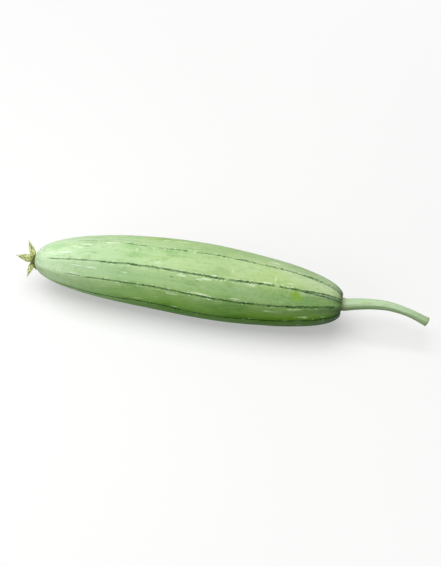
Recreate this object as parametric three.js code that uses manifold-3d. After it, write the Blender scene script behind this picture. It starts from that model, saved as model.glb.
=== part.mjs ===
// A smooth sponge gourd (luffa) as picked, with its stem on, lying on its side.
// Millimetres. +X runs along the fruit from the blossom end to the stem, and +Z is up. The origin is on the
// flat patch that the fruit rests on, straight below its centre of mass.
import * as THREE from 'three';
import { mergeVertices } from 'three/addons/utils/BufferGeometryUtils.js';
import Module from 'manifold-3d';

const { clamp, degToRad, lerp, smoothstep } = THREE.MathUtils;

const GAP = 0.3; // between pieces that touch

// The fruit is two rounded halves. Each is a superellipse from the belly to the small flat face at its end.
const BELLY_RADIUS = 34.6;
const BLOSSOM_HALF = { length: 159, fullness: 1.95, bluntness: 2.55, endRadius: 5.4 };
const STEM_HALF = { length: 133.5, fullness: 1.73, bluntness: 2.8, endRadius: 10.4 };
const BOW = 4.4; // how far the middle of the fruit bows sideways, to +Y
const SWAY = 0.8; // a slight S on top of the bow
const REST_DEPTH = 0.6; // how far the skin is flattened where the fruit lies on it
const BALANCE = { x: -9.3, y: 3.3 }; // the whole gourd's centre of mass, from the belly's centre
const FRUIT_SEGMENTS = 60;
const HALF_RINGS = 18;

// Ten veins run the length of the fruit as low ribs, which stand out most where they gather at the stem.
const VEINS = 10;
const VEIN_ROLL = degToRad(-11); // where the first vein stands, from -Y towards +Z
const VEIN_HEIGHT = 0.3;
const NECK_VEIN_HEIGHT = 0.8;
const NECK_LENGTH = 40;
const NECK_END = 5; // how far from the stem the veins reach their full height

// The stem is a tapered stalk that flares at its foot, rises a little and then arches down to its cut end.
const STEM_ROUTE = [
  new THREE.Vector3(0, 0, 0),
  new THREE.Vector3(3, 0, 0),
  new THREE.Vector3(10, 0.9, 1),
  new THREE.Vector3(24, 2.4, 2.6),
  new THREE.Vector3(42, 2.9, 3),
  new THREE.Vector3(60, 1.6, -0.1),
  new THREE.Vector3(78, -1, -6.3),
];
const STEM_OFFSET = 0.7; // how far the stem's foot sits off the fruit's axis, to +Y and to +Z
const STEM_FOOT_RADIUS = 6.1;
const STEM_ROOT_RADIUS = 5.3;
const STEM_TIP_RADIUS = 3.6;
const STEM_CUT_RADIUS = 4.1;
const STEM_TAPER_ENDS = 0.8; // share of the stem's length
const FOOT_REACH = 3.2; // how far along the stem its foot's flare dies away
const CUT_REACH = 6.5; // how far from the cut end the stem starts to thicken again
const STEM_SEGMENTS = 16;
const STEM_RINGS = 20;

// The withered flower at the blossom end: a waisted neck, five sepals and the dried style.
const FLOWER_OFFSET = { y: -0.7, z: -0.6 }; // how far the flower sits off the fruit's axis
const FLOWER_NECK = { height: 2.2, lip: 4.7, waist: 3.9, waistAt: 0.9, mouth: 4.2 };
const FLOWER_NECK_SEGMENTS = 20;
const SEPAL_FOOT = 3.9; // how far from the flower's axis the sepals stand
const SEPAL_THICKNESS = 0.9;
const SEPAL_FORWARD = 0.6; // under 1 puts the widest place nearer to the foot
const SEPAL_TIP_THINNING = 0.35;
const SEPAL_SEGMENTS = 10;
const SEPAL_STEPS = 9;
// Each sepal stands at a roll round the flower's axis, from +Y towards +Z, spreads from that axis, curls, and is
// turned about its own length.
const SEPALS = [
  { roll: 44, length: 15.8, width: 6.8, spread: 66, curl: 8, turn: -80 },
  { roll: 120, length: 15.6, width: 7.8, spread: 34, curl: -6, turn: -10 },
  { roll: 209, length: 14.2, width: 6.2, spread: 79, curl: -10, turn: 80 },
  { roll: 266, length: 9, width: 5, spread: 98, curl: 8, turn: 30 },
  { roll: 322, length: 10.5, width: 5, spread: 96, curl: -6, turn: -20 },
];
const STYLE = { length: 3.4, foot: 1.1, waist: 0.75, waistAt: 1.7, head: 1.1, headAt: 2.9, tip: 0.5 };
const STYLE_SEGMENTS = 12;

const wasm = await Module();
wasm.setup();

function finish(color, roughness) {
  return new THREE.MeshStandardMaterial({ color, roughness, metalness: 0 });
}

function named(name, geometry, material) {
  const mesh = new THREE.Mesh(geometry, material);
  mesh.name = name;
  return mesh;
}

// Joins the doubled points along a lathe's seam and at its poles, so that the mesh is one closed body.
function closed(geometry) {
  geometry.deleteAttribute('normal');
  geometry.deleteAttribute('uv');
  return mergeVertices(geometry, 1e-4);
}

function toSolid(geometry) {
  const merged = closed(geometry);
  return new wasm.Manifold(new wasm.Mesh({
    numProp: 3,
    vertProperties: new Float32Array(merged.attributes.position.array),
    triVerts: new Uint32Array(merged.index.array),
  }));
}

function toGeometry(solid) {
  const mesh = solid.getMesh();
  const geometry = new THREE.BufferGeometry();
  geometry.setAttribute('position', new THREE.BufferAttribute(new Float32Array(mesh.vertProperties), 3));
  geometry.setIndex(new THREE.BufferAttribute(new Uint32Array(mesh.triVerts), 1));
  return geometry;
}

function movePoints(geometry, move) {
  const places = geometry.attributes.position;
  const point = new THREE.Vector3();
  for (let i = 0; i < places.count; i += 1) {
    point.fromBufferAttribute(places, i);
    move(point);
    places.setXYZ(i, point.x, point.y, point.z);
  }
}

// A lathe along +Y from pairs of radius and height, with a point on the axis added at each end.
function turned(pairs, segments) {
  const outline = pairs.map(([radius, height]) => new THREE.Vector2(radius, height));
  const first = new THREE.Vector2(0, outline[0].y);
  const last = new THREE.Vector2(0, outline[outline.length - 1].y);
  return new THREE.LatheGeometry([first, ...outline, last], segments);
}

// The radius of a half at a distance from the belly, given as a share of the half's length.
function halfRadius(half, share) {
  return BELLY_RADIUS * (1 - share ** half.fullness) ** (1 / half.bluntness);
}

// The share of the half's length where its radius has fallen to endRadius and the half stops.
function endShare(half) {
  return (1 - (half.endRadius / BELLY_RADIUS) ** half.bluntness) ** (1 / half.fullness);
}

// The half's outline from its end to the belly, with its rings closest together at the end.
function halfOutline(half, side) {
  const pairs = [];
  for (let i = 0; i <= HALF_RINGS; i += 1) {
    const share = endShare(half) * Math.cos((i / HALF_RINGS) * (Math.PI / 2));
    pairs.push([halfRadius(half, share), side * share * half.length]);
  }
  return pairs;
}

const blossomX = -endShare(BLOSSOM_HALF) * BLOSSOM_HALF.length;
const stemX = endShare(STEM_HALF) * STEM_HALF.length;

// How far the fruit's centre line lies to +Y at a distance along it from the belly.
function bowAt(x) {
  const turn = Math.PI * clamp((x - blossomX) / (stemX - blossomX), 0, 1);
  return BOW * Math.sin(turn) + SWAY * Math.sin(2 * turn);
}

// Raises the skin over each vein and lowers it between them.
function raiseVeins(point) {
  const radius = Math.hypot(point.y, point.z);
  if (radius < BLOSSOM_HALF.endRadius / 2) {
    return;
  }
  const roll = Math.atan2(point.z, -point.y) - VEIN_ROLL;
  const neck = smoothstep(point.x, stemX - NECK_LENGTH, stemX - NECK_END);
  const fade = smoothstep(radius, BLOSSOM_HALF.endRadius, BELLY_RADIUS / 2);
  const rise = lerp(VEIN_HEIGHT, NECK_VEIN_HEIGHT, neck) * fade * Math.cos(VEINS * roll);
  const grown = 1 + rise / radius;
  point.y *= grown;
  point.z *= grown;
}

function fruit() {
  const blossomHalf = halfOutline(BLOSSOM_HALF, -1);
  const stemHalf = halfOutline(STEM_HALF, 1).reverse();
  const geometry = turned([...blossomHalf, ...stemHalf.slice(1)], FRUIT_SEGMENTS);
  geometry.rotateZ(-Math.PI / 2);
  movePoints(geometry, (point) => {
    raiseVeins(point);
    point.y += bowAt(point.x);
  });
  const size = 2 * (stemX - blossomX);
  const floor = new THREE.BoxGeometry(size, size, BELLY_RADIUS);
  floor.translate(0, 0, REST_DEPTH - 1.5 * BELLY_RADIUS);
  const resting = toSolid(geometry).subtract(toSolid(floor));
  return named('fruit', toGeometry(resting), finish(0xa3c17a, 0.5));
}

// Bends a straight lathe so that its axis, +Y, follows the curve.
function bendAlong(geometry, curve, length) {
  const worldUp = new THREE.Vector3(0, 0, 1);
  movePoints(geometry, (point) => {
    const share = clamp(point.y / length, 0, 1);
    const along = curve.getTangentAt(share);
    const side = new THREE.Vector3().crossVectors(along, worldUp).normalize();
    const up = new THREE.Vector3().crossVectors(side, along);
    const { x, z } = point;
    point.copy(curve.getPointAt(share)).addScaledVector(side, x).addScaledVector(up, z);
  });
}

function stem() {
  const curve = new THREE.CatmullRomCurve3(STEM_ROUTE);
  const length = curve.getLength();
  const pairs = [];
  for (let i = 0; i <= STEM_RINGS; i += 1) {
    const along = (i / STEM_RINGS) * length;
    const taper = smoothstep(along, 0, STEM_TAPER_ENDS * length);
    const foot = (STEM_FOOT_RADIUS - STEM_ROOT_RADIUS) * Math.exp(-along / FOOT_REACH);
    const cut = (STEM_CUT_RADIUS - STEM_TIP_RADIUS) * Math.exp((along - length) / CUT_REACH);
    pairs.push([lerp(STEM_ROOT_RADIUS, STEM_TIP_RADIUS, taper) + foot + cut, along]);
  }
  const geometry = turned(pairs, STEM_SEGMENTS);
  bendAlong(geometry, curve, length);
  const stalk = named('stem', closed(geometry), finish(0xb2d19b, 0.55));
  stalk.position.set(stemX + GAP, bowAt(stemX) + STEM_OFFSET, STEM_OFFSET);
  return stalk;
}

function calyxRing() {
  const { height, lip, waist, waistAt, mouth } = FLOWER_NECK;
  const geometry = turned([[lip, 0], [waist, waistAt], [mouth, height]], FLOWER_NECK_SEGMENTS);
  return named('calyx_ring', closed(geometry), finish(0x5b5a35, 0.85));
}

// A pointed leaf along +Y: a spindle pressed flat in X, curled in X as it runs out, then turned about +Y.
function sepal(name, { length, width, curl, turn }) {
  const outline = [new THREE.Vector2(0, 0)];
  for (let i = 1; i < SEPAL_STEPS; i += 1) {
    const share = i / SEPAL_STEPS;
    const swell = Math.sin(Math.PI * share ** SEPAL_FORWARD) * (1 - SEPAL_TIP_THINNING * share);
    outline.push(new THREE.Vector2((width / 2) * swell, share * length));
  }
  outline.push(new THREE.Vector2(0, length));
  const geometry = new THREE.LatheGeometry(outline, SEPAL_SEGMENTS);
  const curvature = degToRad(curl) / length;
  movePoints(geometry, (point) => {
    const bend = point.y * curvature;
    const flat = (point.x * SEPAL_THICKNESS) / width;
    point.x = (1 - Math.cos(bend)) / curvature + flat * Math.cos(bend);
    point.y = Math.sin(bend) / curvature - flat * Math.sin(bend);
  });
  geometry.rotateY(degToRad(turn));
  return named(name, closed(geometry), finish(0xb4bd75, 0.75));
}

function styleStub() {
  const { length, foot, waist, waistAt, head, headAt, tip } = STYLE;
  const geometry = turned([[foot, 0], [waist, waistAt], [head, headAt], [tip, length]], STYLE_SEGMENTS);
  return named('style_stub', closed(geometry), finish(0x3d3420, 0.9));
}

// The flower is built along +Y and turned to point out of the blossom end, along -X.
function flower() {
  const star = new THREE.Group();
  star.rotation.z = Math.PI / 2;
  star.position.set(blossomX - GAP, bowAt(blossomX) + FLOWER_OFFSET.y, FLOWER_OFFSET.z);
  star.add(calyxRing());
  const stub = styleStub();
  stub.position.y = FLOWER_NECK.height + GAP;
  star.add(stub);
  SEPALS.forEach((shape, i) => {
    const arm = new THREE.Group();
    arm.rotation.y = -degToRad(shape.roll);
    const leaf = sepal(`sepal_${i + 1}`, shape);
    leaf.position.set(SEPAL_FOOT, FLOWER_NECK.height + GAP + SEPAL_THICKNESS / 2, 0);
    leaf.rotation.z = -degToRad(shape.spread);
    arm.add(leaf);
    star.add(arm);
  });
  return star;
}

const gourd = new THREE.Group();
gourd.position.set(-BALANCE.x, -BALANCE.y, BELLY_RADIUS - REST_DEPTH);
gourd.add(fruit(), stem(), flower());

export default gourd;
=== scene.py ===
# A smooth sponge gourd (luffa), picked with its stem on, lying on its side on a pale floor. Metres, in the
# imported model's frame: +X runs from the blossom end to the stem, +Z is up, and the floor is Z = 0.
import bisect
import collections
import functools
import math
import bmesh
import bpy
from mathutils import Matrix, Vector, noise


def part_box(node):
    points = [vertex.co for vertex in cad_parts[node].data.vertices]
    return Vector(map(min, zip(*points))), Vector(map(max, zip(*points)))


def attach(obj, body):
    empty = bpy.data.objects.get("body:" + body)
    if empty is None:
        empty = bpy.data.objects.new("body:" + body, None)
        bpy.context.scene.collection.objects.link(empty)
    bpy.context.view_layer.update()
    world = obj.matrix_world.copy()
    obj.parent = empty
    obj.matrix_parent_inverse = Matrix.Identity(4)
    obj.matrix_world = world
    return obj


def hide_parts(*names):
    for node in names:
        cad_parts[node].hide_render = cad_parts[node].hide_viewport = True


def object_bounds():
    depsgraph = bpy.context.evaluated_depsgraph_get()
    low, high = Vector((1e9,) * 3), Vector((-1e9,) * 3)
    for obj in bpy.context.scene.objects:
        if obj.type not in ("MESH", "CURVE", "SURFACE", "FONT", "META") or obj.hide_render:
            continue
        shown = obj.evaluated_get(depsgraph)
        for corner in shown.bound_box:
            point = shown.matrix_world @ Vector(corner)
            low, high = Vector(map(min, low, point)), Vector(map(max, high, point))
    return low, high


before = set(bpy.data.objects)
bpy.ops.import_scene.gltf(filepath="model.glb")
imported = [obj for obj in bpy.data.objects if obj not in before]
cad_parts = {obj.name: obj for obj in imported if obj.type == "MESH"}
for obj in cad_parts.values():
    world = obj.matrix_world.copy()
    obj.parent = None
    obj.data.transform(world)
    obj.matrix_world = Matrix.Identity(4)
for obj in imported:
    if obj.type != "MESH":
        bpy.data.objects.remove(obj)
cad_low, cad_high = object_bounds()


# --- The fruit --------------------------------------------------------------------------------------------
# The young luffa itself: one grown body with a thin, waxy green rind over spongy flesh. Ten vascular veins
# run under the rind from the stem to the blossom scar, as low ribs with a dark line on each. The rind is
# flattened a little where the fruit lies on it.
MM = 0.001
TAU = 2 * math.pi

BELLY_RADIUS = 34.6 * MM
# Each half is a superellipse from the belly to the small face at its end, which may be dished.
BLOSSOM_HALF = {
    "length": 159 * MM, "fullness": 1.95, "bluntness": 2.55, "end_radius": 5.4 * MM, "dish": 0.0,
    "rings": 225,
}
STEM_HALF = {
    "length": 133.5 * MM, "fullness": 1.73, "bluntness": 2.8, "end_radius": 10.4 * MM, "dish": 0.8 * MM,
    "rings": 189,
}
FACE_RINGS = 5  # on the face at each end
RIM = 1 * MM  # how wide the rounded rim of each end face is
RIM_RINGS = 4
BOW = 4.4 * MM  # how far the middle of the fruit bows sideways, to +Y
SWAY = 0.8 * MM  # a slight S on top of the bow

VEIN_RISE = 0.3 * MM
NECK_VEIN_RISE = 0.8 * MM
NECK_LENGTH = 40 * MM
NECK_END = 5 * MM
VEIN_COLUMNS = 20  # columns of faces from one vein to the next
CROWDING = 0.72  # how much closer together the columns stand at a vein
GROOVE_DEPTH = 0.22 * MM
GROOVE_WIDTH = 0.5 * MM
WOBBLE = 0.45 * MM  # how far a vein wanders to the side over a few millimetres
WOBBLE_LENGTH = 11 * MM
WOBBLE_GIRTH = 10 * MM  # the least radius that the wobble's angle is worked out for
SPECKLE_LENGTH = 5.5 * MM  # of the darker and paler stretches of a line
WOBBLE_APART, SPECKLE_APART = 7.7, 3.3  # steps through the noise that give each vein its own
LINE_FADES_IN = (-2, 9)  # from where to where a line appears, in millimetres from its start
BREAK_EDGE = 1.2  # how many millimetres a line takes to fade at a break
BREAK_DEPTH = 0.92  # how much of its darkness it loses there
HALVES_MEET = (0.3, 0.6)  # shares of the length between which the stem half's values take over
DENTS = ((46 * MM, 0.5 * MM), (15 * MM, 0.13 * MM))  # soft unevenness: its length and its height

# Each vein has its sideways drift in degrees at even steps from the blossom end to the stem, where its dark
# line starts and where it is broken, in millimetres from the blossom end, how much of the line holds
# together between its beads, and how far it frays towards the stem. How dark the line is, and the share of
# its sides that carries pale scars, are each given for the blossom half and for the stem half.
SEAM = math.radians(259)  # the underside, half-way between two veins, from -Y towards +Z
Vein = collections.namedtuple("Vein", "drift start breaks hold fray ink scars")
VEINS = (
    Vein((0, 3, 2, -4, -2, -5), 30, (), 0.6, 0.3, (0.7, 0.9), (0.2, 0.4)),
    Vein((3, -2, -4, 0, 3, -2), 22, ((121, 127),), 0.7, 0.2, (0.8, 0.9), (0.2, 0.3)),
    Vein((-4, -1, 7, 2, 6, 14), 18, (), 0.95, 0.0, (1.0, 1.0), (0.12, 0.14)),
    Vein((-1, 1, 4, 1, 3, 14), 34, ((50, 55), (284, 290)), 0.7, 0.15, (0.85, 1.0), (0.5, 0.5)),
    Vein((-5, -3, -2, -3, 2, 5), 14, ((184, 187), (229, 232)), 0.75, 1.0, (1.0, 1.0), (0.25, 0.8)),
    Vein(
        (10, 6, -3, 0, 2, 4), 38, ((60, 64), (84, 88), (110, 118), (146, 152)), 0.3, 0.75, (0.65, 0.95),
        (0.3, 0.4),
    ),
    Vein((3, 0, -3, 2, 4, 0), 26, ((90, 93),), 0.6, 0.5, (0.85, 0.9), (0.4, 0.4)),
    Vein((-2, 3, 4, -2, -3, 0), 34, ((140, 149),), 0.3, 1.0, (0.6, 0.85), (0.3, 0.7)),
    Vein((4, 0, -4, -2, 3, -2), 20, ((201, 204),), 0.9, 0.2, (0.9, 0.9), (0.15, 0.3)),
    Vein((-3, -4, 2, 4, 0, -3), 28, ((70, 78),), 0.5, 0.9, (0.75, 0.85), (0.3, 0.5)),
)
FRAY_START = 50 * MM  # how far from the stem end the lines start to fray, and where they are frayed in full
FRAY_FULL = 8 * MM
SCARS_THIN = 30 * MM  # how far from the stem end the scars grow fewer, and where they end
SCARS_END = 8 * MM

FLOWER_OFFSET = (-0.7 * MM, -0.6 * MM)  # how far the flower sits off the fruit's axis, in Y and Z

fruit_low, fruit_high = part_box("fruit")
neck_low, neck_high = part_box("calyx_ring")
blossom_x = fruit_low.x
stem_x = fruit_high.x
fruit_length = stem_x - blossom_x
flower_y = (neck_low.y + neck_high.y) / 2
flower_z = (neck_low.z + neck_high.z) / 2
axis_y = flower_y - FLOWER_OFFSET[0]  # the fruit's own axis, at its two ends
axis_z = flower_z - FLOWER_OFFSET[1]


def clamp(value):
    return max(0.0, min(1.0, value))


def ease(value, start, end):
    """0 before start, 1 after end, and a smooth step between them."""
    share = clamp((value - start) / (end - start))
    return share * share * (3 - 2 * share)


def through(stops, share):
    """The value at a share of the way along a smooth curve through evenly spaced stops."""
    place = clamp(share) * (len(stops) - 1)
    i = min(int(place), len(stops) - 2)
    t = place - i
    before, here = stops[max(i - 1, 0)], stops[i]
    after, beyond = stops[i + 1], stops[min(i + 2, len(stops) - 1)]
    bend = (after - before) * t + (before * 2 - here * 5 + after * 4 - beyond) * t**2
    return here + (bend + (here * 3 - before - after * 3 + beyond) * t**3) * 0.5


def end_share(half):
    """The share of a half's length where its radius has fallen to that of its end."""
    return (1 - (half["end_radius"] / BELLY_RADIUS) ** half["bluntness"]) ** (1 / half["fullness"])


def half_radius(half, share):
    """A half's radius at a share of its length from the belly."""
    return BELLY_RADIUS * (1 - share ** half["fullness"]) ** (1 / half["bluntness"])


def half_outline(half, belly_x, side):
    """One half from the middle of its end face, round the rim, to the belly, as points of X and radius."""
    end_x = belly_x + side * end_share(half) * half["length"]
    face_radius = half["end_radius"] - RIM
    points = []
    for i in range(FACE_RINGS):
        share = i / FACE_RINGS
        sink = half["dish"] * (1 - ease(share, 0.6, 1.0))
        points.append((end_x - side * sink, face_radius * share))
    flank_share = end_share(half) - RIM / half["length"]
    for i in range(RIM_RINGS):
        t = i / RIM_RINGS
        radius = face_radius * (1 - t) ** 2 + half["end_radius"] * 2 * t * (1 - t)
        points.append((end_x - side * RIM * t**2, radius + half_radius(half, flank_share) * t**2))
    for i in range(half["rings"] + 1):
        share = flank_share * math.cos(i / half["rings"] * math.pi / 2)
        points.append((belly_x + side * share * half["length"], half_radius(half, share)))
    return points


def stations(outline):
    """How far along the outline each of its points is."""
    reached = [0.0]
    for (x0, r0), (x1, r1) in zip(outline, outline[1:]):
        reached.append(reached[-1] + math.hypot(x1 - x0, r1 - r0))
    return reached


def turned(outline, steps):
    """A closed body turned round the X axis, whose points know their station along the outline."""
    body = bmesh.new()
    station = body.verts.layers.float.new("station")
    chain = [body.verts.new((x, 0, radius)) for x, radius in outline]
    for vert, reached in zip(chain, stations(outline)):
        vert[station] = reached
    edges = [body.edges.new(pair) for pair in zip(chain, chain[1:])]
    bmesh.ops.spin(
        body, geom=chain + edges, cent=(0, 0, 0), axis=(1, 0, 0), angle=TAU, steps=steps, use_merge=True
    )
    bmesh.ops.remove_doubles(body, verts=body.verts[:], dist=0.001 * MM)
    bmesh.ops.recalc_face_normals(body, faces=body.faces[:])
    return body


def lay_map(body, length):
    """Spreads the skin flat as a map, with the station along it and the layer "round" across it."""
    station = body.verts.layers.float["station"]
    around = body.verts.layers.float["round"]
    chart = body.loops.layers.uv.new("OFBake")
    for face in body.faces:
        rims = [v[around] for v in face.verts if v.co.yz.length > 0.01 * MM]
        wraps = max(rims) - min(rims) > 0.5
        rims = [r + (wraps and r < 0.5) for r in rims]
        for loop in face.loops:
            across = loop.vert[around]
            across += wraps and across < 0.5
            if loop.vert.co.yz.length <= 0.01 * MM:
                across = sum(rims) / len(rims)
            loop[chart].uv = (loop.vert[station] / length, across)


def finished(name, body, material):
    """Makes the object, smooth all over, in its material."""
    mesh = bpy.data.meshes.new(name)
    body.normal_update()
    body.to_mesh(mesh)
    body.free()
    mesh.shade_smooth()
    mesh.materials.append(material)
    piece = bpy.data.objects.new(name, mesh)
    bpy.context.scene.collection.objects.link(piece)
    return piece


def drift_of(number, reach):
    """The angle by which a vein strays from its even place, at a reach from the blossom end."""
    x = blossom_x + reach - belly_x
    half = BLOSSOM_HALF if x < 0 else STEM_HALF
    radius = max(WOBBLE_GIRTH, half_radius(half, min(abs(x) / half["length"], end_share(half))))
    wobble = noise.noise(Vector((reach / WOBBLE_LENGTH, number * WOBBLE_APART, 0.5)))
    return math.radians(through(VEINS[number].drift, reach / fruit_length)) + wobble * WOBBLE / radius


def by_half(pair, reach):
    """Passes from the blossom half's value to the stem half's."""
    return pair[0] + (pair[1] - pair[0]) * ease(reach / fruit_length, *HALVES_MEET)


def ink_of(number, reach):
    """How dark a vein's line is at a reach from the blossom end, from 0 to 1."""
    vein = VEINS[number]
    ink = by_half(vein.ink, reach)
    speckle = noise.noise(Vector((reach / SPECKLE_LENGTH, number * SPECKLE_APART, 4.5)))
    ink *= clamp(0.9 + speckle * (1.5 - ink))
    for start, end in vein.breaks:
        broken = ease(reach / MM, start - BREAK_EDGE, start) * (1 - ease(reach / MM, end, end + BREAK_EDGE))
        ink *= 1 - BREAK_DEPTH * broken
    return ink * ease(reach / MM, *(vein.start + fade for fade in LINE_FADES_IN))


@functools.cache
def veins_at(reach):
    """Every vein's drift and the darkness of its line, at a reach from the blossom end."""
    return [(drift_of(number, reach), ink_of(number, reach)) for number in range(len(VEINS))]


@functools.cache
def bow_at(reach):
    """How far the fruit's axis stands aside, to +Y, at a reach from the blossom end."""
    turn = math.pi * clamp(reach / fruit_length)
    return axis_y + BOW * math.sin(turn) + SWAY * math.sin(2 * turn)


belly_x = blossom_x + end_share(BLOSSOM_HALF) * BLOSSOM_HALF["length"]
fruit_outline = half_outline(BLOSSOM_HALF, belly_x, -1) + half_outline(STEM_HALF, belly_x, 1)[-2::-1]
fruit_stations = stations(fruit_outline)
skin_length = fruit_stations[-1]

skin = turned(fruit_outline, len(VEINS) * VEIN_COLUMNS)
round_layer, girth_layer, ink_layer, hold_layer, fray_layer, scars_layer = (
    skin.verts.layers.float.new(name)
    for name in ("round", "girth", "vein_ink", "vein_hold", "vein_fray", "vein_scars")
)
for vert in skin.verts:
    x, y, z = vert.co
    radius = math.hypot(y, z)
    reach = round(x - blossom_x, 6)
    # The column's place among the veins, drawn in towards the nearest vein.
    place = (math.atan2(z, -y) - SEAM) / TAU % 1 * len(VEINS)
    number = min(int(place), len(VEINS) - 1)
    offset = place - number - 0.5
    offset -= CROWDING * math.sin(TAU * offset) / TAU
    place = number + 0.5 + offset
    # The drift passes smoothly from one vein's to the next one's.
    left = math.floor(place - 0.5) % len(VEINS)
    right = (left + 1) % len(VEINS)
    share = ease((place - 0.5) % 1, 0.1, 0.9)
    drift = veins_at(reach)[left][0] * (1 - share) + veins_at(reach)[right][0] * share
    roll = SEAM + place / len(VEINS) * TAU + drift
    # The rind rises over each vein, dips in the vein's own line, and is softly uneven all over.
    ink = veins_at(reach)[number][1]
    neck = ease(x, stem_x - NECK_LENGTH, stem_x - NECK_END)
    fade = ease(radius, BLOSSOM_HALF["end_radius"], BELLY_RADIUS / 2)
    rise = (VEIN_RISE + (NECK_VEIN_RISE - VEIN_RISE) * neck) * math.cos(TAU * offset)
    gap = offset * TAU * radius / len(VEINS)
    rise -= GROOVE_DEPTH * ink * math.exp(-((gap / GROOVE_WIDTH) ** 2))
    straight = Vector((x, -radius * math.cos(roll), radius * math.sin(roll)))
    for size, height in DENTS:
        rise += height * noise.noise(straight / size)
    radius += rise * fade
    vert.co.y = -radius * math.cos(roll)
    vert.co.z = radius * math.sin(roll)
    vert[round_layer] = place / len(VEINS)
    vert[girth_layer] = radius * TAU
    vert[ink_layer] = ink
    vert[hold_layer] = VEINS[number].hold
    vert[fray_layer] = VEINS[number].fray * ease(fruit_length - reach, FRAY_START, FRAY_FULL)
    unscarred = ease(reach, fruit_length - SCARS_THIN, fruit_length - SCARS_END)
    vert[scars_layer] = by_half(VEINS[number].scars, reach) * (1 - unscarred)
lay_map(skin, skin_length)
for vert in skin.verts:
    vert.co.y += bow_at(round(vert.co.x - blossom_x, 6))
    vert.co.z = max(0.0, vert.co.z + axis_z)


def linear(code):
    """An sRGB hex colour, turned linear."""
    shares = [int(code[i : i + 2], 16) / 255 for i in (1, 3, 5)]
    return (*(s / 12.92 if s <= 0.04045 else ((s + 0.055) / 1.055) ** 2.4 for s in shares), 1)


def add_node(tree, kind, *values, named=None, stops=(), **settings):
    """Adds a shader node with its settings. Values go to its open inputs in order, or by name, and stops
    fill its ramp. A node or a socket among the values is linked."""
    node = tree.nodes.new("ShaderNode" + kind)
    for name, value in settings.items():
        setattr(node, name, value)
    sockets = [socket for socket in node.inputs if socket.enabled]
    filled = list(zip(sockets, values))
    for name, value in (named or {}).items():
        filled.append((next(socket for socket in sockets if socket.name == name), value))
    for socket, value in filled:
        if isinstance(value, bpy.types.Node):
            value = next(output for output in value.outputs if output.enabled)
        if isinstance(value, bpy.types.NodeSocket):
            tree.links.new(value, socket)
        else:
            socket.default_value = linear(value) if isinstance(value, str) else value
    for place, _ in stops[1:-1]:
        node.color_ramp.elements.new(place)
    for mark, (place, colour) in zip(node.color_ramp.elements if stops else (), stops):
        mark.position = place
        mark.color = linear(colour)
    return node


def emptied(holder):
    """Clears a material's or a world's nodes, and gives what adds a node to them."""
    holder.use_nodes = True
    holder.node_tree.nodes.clear()
    return functools.partial(add_node, holder.node_tree)


def skin_share(reach):
    """The share of the skin's length that lies before a reach in millimetres from the blossom end."""
    x = blossom_x + reach * MM
    for i in range(FACE_RINGS, len(fruit_outline) - 1):
        x0, x1 = fruit_outline[i][0], fruit_outline[i + 1][0]
        if x0 <= x < x1:
            here, after = fruit_stations[i], fruit_stations[i + 1]
            return (here + (after - here) * (x - x0) / (x1 - x0)) / skin_length
    return 1.0


def rolled(add, along, share_round, first, radius):
    """A flat skin rolled up on an even tube: how high on it a point lies, from -1 to 1, and where."""
    turn = add("Math", share_round, TAU, first, operation="MULTIPLY_ADD")
    height = add("Math", turn, operation="SINE")
    ring = add("CombineXYZ", along, add("Math", turn, operation="COSINE"), height)
    return height, add("VectorMath", ring, (1, radius, radius), operation="MULTIPLY")


def grains(add, *rows):
    """Noise by name. Each row has what it lies on, its lumps' length and width in mm, and its detail."""
    made = {}
    for name, ground, length, width, detail in rows:
        scale = (1 / (length * MM), 1 / (width * MM), 1 / (width * MM))
        scaled = add("VectorMath", ground, scale, operation="MULTIPLY")
        lumps = add("TexNoise", named={"Vector": scaled, "Scale": 1.0, "Detail": detail})
        made[name] = lumps.outputs["Fac"]
    return made


def cells_on(add, ground, length, width):
    """Cells of a length and a width on a flat ground: the colour of each, and how far its middle is."""
    place = add("VectorMath", ground, (1 / length, 1 / width, 0), operation="MULTIPLY")
    cells = add("TexVoronoi", named={"Vector": place, "Scale": 1.0}, voronoi_dimensions="2D")
    return cells.outputs["Color"], cells.outputs["Distance"]


SMOOTH = {"interpolation_type": "SMOOTHSTEP"}


def laid(add, body, *rows):
    """Lays colours over a body. Each row has what its colour follows, where that starts and ends, how much
    of the colour shows at the most, the colour and how it is laid."""
    for value, start, end, most, colour, way in rows:
        share = add("MapRange", value, start, end, 0.0, most, **SMOOTH)
        body = add("Mix", share, body, colour, data_type="RGBA", blend_type=way)
    return body


def surface(add, body, gloss, ior, specular, *rows):
    """The finish's surface. Each row has what stands up from it, or sinks into it, and how far in mm."""
    relief = 0.0
    for layer, rise in rows:
        relief = add("Math", layer, rise * MM, relief, operation="MULTIPLY_ADD")
    shader = add("BsdfPrincipled", named={
        "Base Color": body, "Roughness": gloss, "IOR": ior, "Specular IOR Level": specular,
        "Normal": add("Bump", named={"Strength": 1.0, "Distance": 1.0, "Height": relief}),
    })
    add("OutputMaterial", shader)


# Waxed rind: a satin plant cuticle over green cells. It is palest and mintiest where it is youngest, at the
# blossom end, and more yellow along the body. Towards its underside it turns a deeper, darker green, which
# is partly its own colour but mostly painted shade. The sap-filled veins show through it as dark lines.
rind = bpy.data.materials.new("waxy_gourd_rind")
add = emptied(rind)
chart = add("UVMap", uv_map="OFBake")
spread = add("SeparateXYZ", chart)
share_along, share_round = spread.outputs["X"], spread.outputs["Y"]
girth, vein_ink, vein_hold, vein_fray, vein_scars = (
    add("Attribute", attribute_name=name).outputs["Fac"]
    for name in ("girth", "vein_ink", "vein_hold", "vein_fray", "vein_scars")
)
where = add("TexCoord").outputs["Object"]

# The skin laid flat, and rolled up again on an even tube, so that its patterns draw in towards the ends.
VEIN_SPACING = TAU * BELLY_RADIUS / len(VEINS)
flat = add("VectorMath", chart, (skin_length, TAU * BELLY_RADIUS, 0), operation="MULTIPLY")
along = add("SeparateXYZ", flat).outputs["X"]
height, tube = rolled(add, along, share_round, SEAM, BELLY_RADIUS)

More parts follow.
